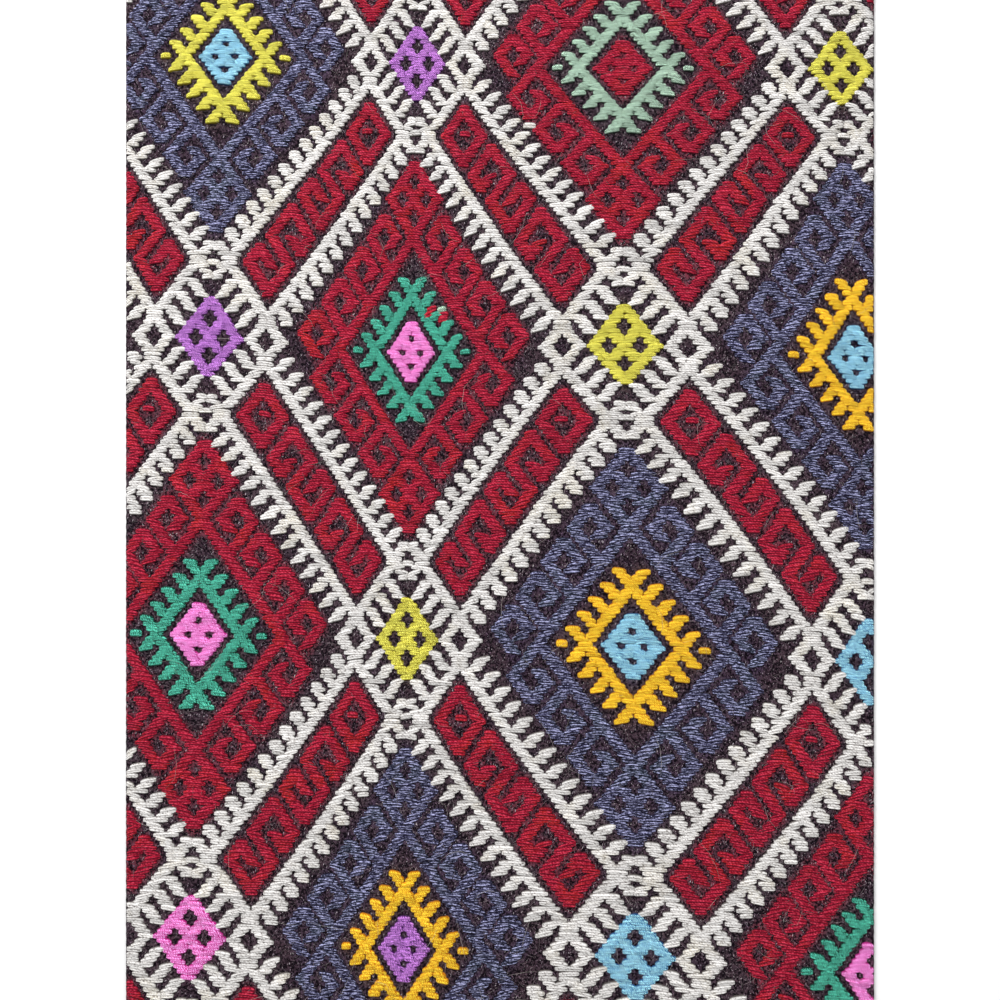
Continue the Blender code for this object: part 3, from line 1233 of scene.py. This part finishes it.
# %% Make the fibres
def build_fibres(name, path, radius, material):
    """Thin three-sided tubes along the middle lines, all in one mesh."""
    count = len(path)
    along = np.gradient(path[..., :2], axis=1)
    along /= np.linalg.norm(along, axis=2, keepdims=True) + 1e-9
    side = np.stack([-along[..., 1], along[..., 0], np.zeros(along.shape[:2])], 2)
    up = np.array([0, 0, 1.0])
    taper = FIBRE_TAPER[None, :, None, None] * radius
    turns = np.array([math.radians(a) for a in (90, 210, 330)])
    ring_points = np.cos(turns)[:, None] * side[:, :, None] + np.sin(turns)[:, None] * up
    points = path[:, :, None] + taper * ring_points
    faces = []
    for k in range(FIBRE_POINTS - 1):
        here, there = k * FIBRE_SIDES, (k + 1) * FIBRE_SIDES
        for j in range(FIBRE_SIDES):
            n = (j + 1) % FIBRE_SIDES
            faces.append((here + j, there + j, there + n, here + n))
    last = FIBRE_POINTS * FIBRE_SIDES - 1
    caps = [(0, 1, 2), (last, last - 1, last - 2)]
    starts = np.arange(count)[:, None, None] * FIBRE_POINTS * FIBRE_SIDES
    quads = (np.array(faces)[None] + starts).reshape(-1, 4).tolist()
    ends = (np.array(caps)[None] + starts).reshape(-1, 3).tolist()
    piece = new_object(name, points.reshape(-1, 3), quads + ends, material)
    print(f"{name}: {count} fibres, {2 * len(quads) + len(ends)} triangles")
    return piece


def fibre_material(name, colour):
    """Wool fibres of one colour, darker in patches."""
    material, tree, shader, place = new_wool(name, roughness=0.7, sheen=0.1, gloss=0.25)
    tint = scaled(tree, noise(tree, place, 60, 2), 0.35, 0.65)
    dim = tuple(v * 0.35 for v in colour[:3]) + (1,)
    socket_link(tree, mix(tree, tint, dim, colour), shader.inputs["Base Color"])
    return material


short_paths = fibre_paths(GROUND_FIBRES, length_low=2.5, length_high=7.0, bend=0.35,
                          height=GROUND_TOP + 0.35 * MM)
grey = fibre_material("fibre_grey", (0.26, 0.21, 0.22, 1))
short_fibres = build_fibres("fibres_on_ground", short_paths, 0.07 * MM, grey)
add_piece(short_fibres)
long_paths = fibre_paths(LONG_FIBRES, length_low=8, length_high=26, bend=0.5,
                         height=GROUND_TOP + 1.35 * MM)
pale = fibre_material("fibre_pale", (0.62, 0.57, 0.52, 1))
long_fibres = build_fibres("fibres_stray", long_paths, 0.06 * MM, pale)
add_piece(long_fibres)

# %% [markdown]

# %% [markdown]
# ## Floor and light
# The cloth lies on a plain pale floor, as it would on a studio table. A large soft light stands at
# the upper left, so that every float throws a short soft shadow to its lower right, and a wider,
# weaker one fills from the other side. A sun lamp would do too, but its hard shadows would turn
# the fine hairs black.

# %% Floor and lights
FLOOR_SIZE = 6.0
FLOOR_DROP = 0.0002         # the floor lies this far under the cloth, so that they never flicker
DAYLIGHT = 0.55             # strength of the even light from all around


def stage_material():
    """A plain pale paint."""
    material = bpy.data.materials.new("pale_floor")
    material.use_nodes = True
    shader = material.node_tree.nodes["Principled BSDF"]
    shader.inputs["Base Color"].default_value = (0.86, 0.86, 0.86, 1)
    shader.inputs["Roughness"].default_value = 0.9
    return material


bpy.ops.mesh.primitive_plane_add(size=FLOOR_SIZE, location=(0, 0, -FLOOR_DROP))
floor = bpy.context.object
floor.name = "floor"
floor.data.materials.append(stage_material())


def soft_light(name, place, size, power):
    """A square area light at a place, aimed at the middle of the cloth."""
    lamp = bpy.data.lights.new(name, "AREA")
    lamp.size = size
    lamp.energy = power
    holder = bpy.data.objects.new(name, lamp)
    holder.location = place
    holder.rotation_mode = "QUATERNION"
    holder.rotation_quaternion = (-Vector(place)).to_track_quat("-Z", "Y")
    bpy.context.scene.collection.objects.link(holder)


soft_light("key", (-0.8, 1.1, 1.2), 0.7, 34)
soft_light("fill", (1.2, -0.4, 1.6), 1.6, 10)

world = bpy.data.worlds.new("studio")
world.use_nodes = True
world.node_tree.nodes["Background"].inputs["Color"].default_value = (1, 1, 1, 1)
world.node_tree.nodes["Background"].inputs["Strength"].default_value = DAYLIGHT
bpy.context.scene.world = world
bpy.context.scene.view_settings.view_transform = "Standard"
print(len(bpy.data.lights), "soft lights over a floor", FLOOR_SIZE, "m wide")

# %% [markdown]
# ## The camera
# A photograph of flat cloth is taken from nearly straight above. Here the warps draw together a
# little towards the upper edge of the picture, which hints at a camera tilted by a few degrees.
# The lens is of middle length and the camera stands close, so that the cloth fills the height of
# the picture.

# %% Camera
CAMERA_DISTANCE = 0.45
CAMERA_TILT = math.radians(3.3)
CAMERA_LENS = 32.4
AIM = Vector((0.0, -0.008, 0.0025))

camera_data = bpy.data.cameras.new("camera")
camera_data.lens = CAMERA_LENS
camera_data.sensor_width = 36
camera_data.clip_start = 0.01
camera = bpy.data.objects.new("camera", camera_data)
camera.location = AIM + CAMERA_DISTANCE * Vector((0, -math.sin(CAMERA_TILT), math.cos(CAMERA_TILT)))
camera.rotation_euler = (CAMERA_TILT, 0, 0)
bpy.context.scene.collection.objects.link(camera)
bpy.context.scene.camera = camera
print("camera at", [round(v, 3) for v in camera.location])
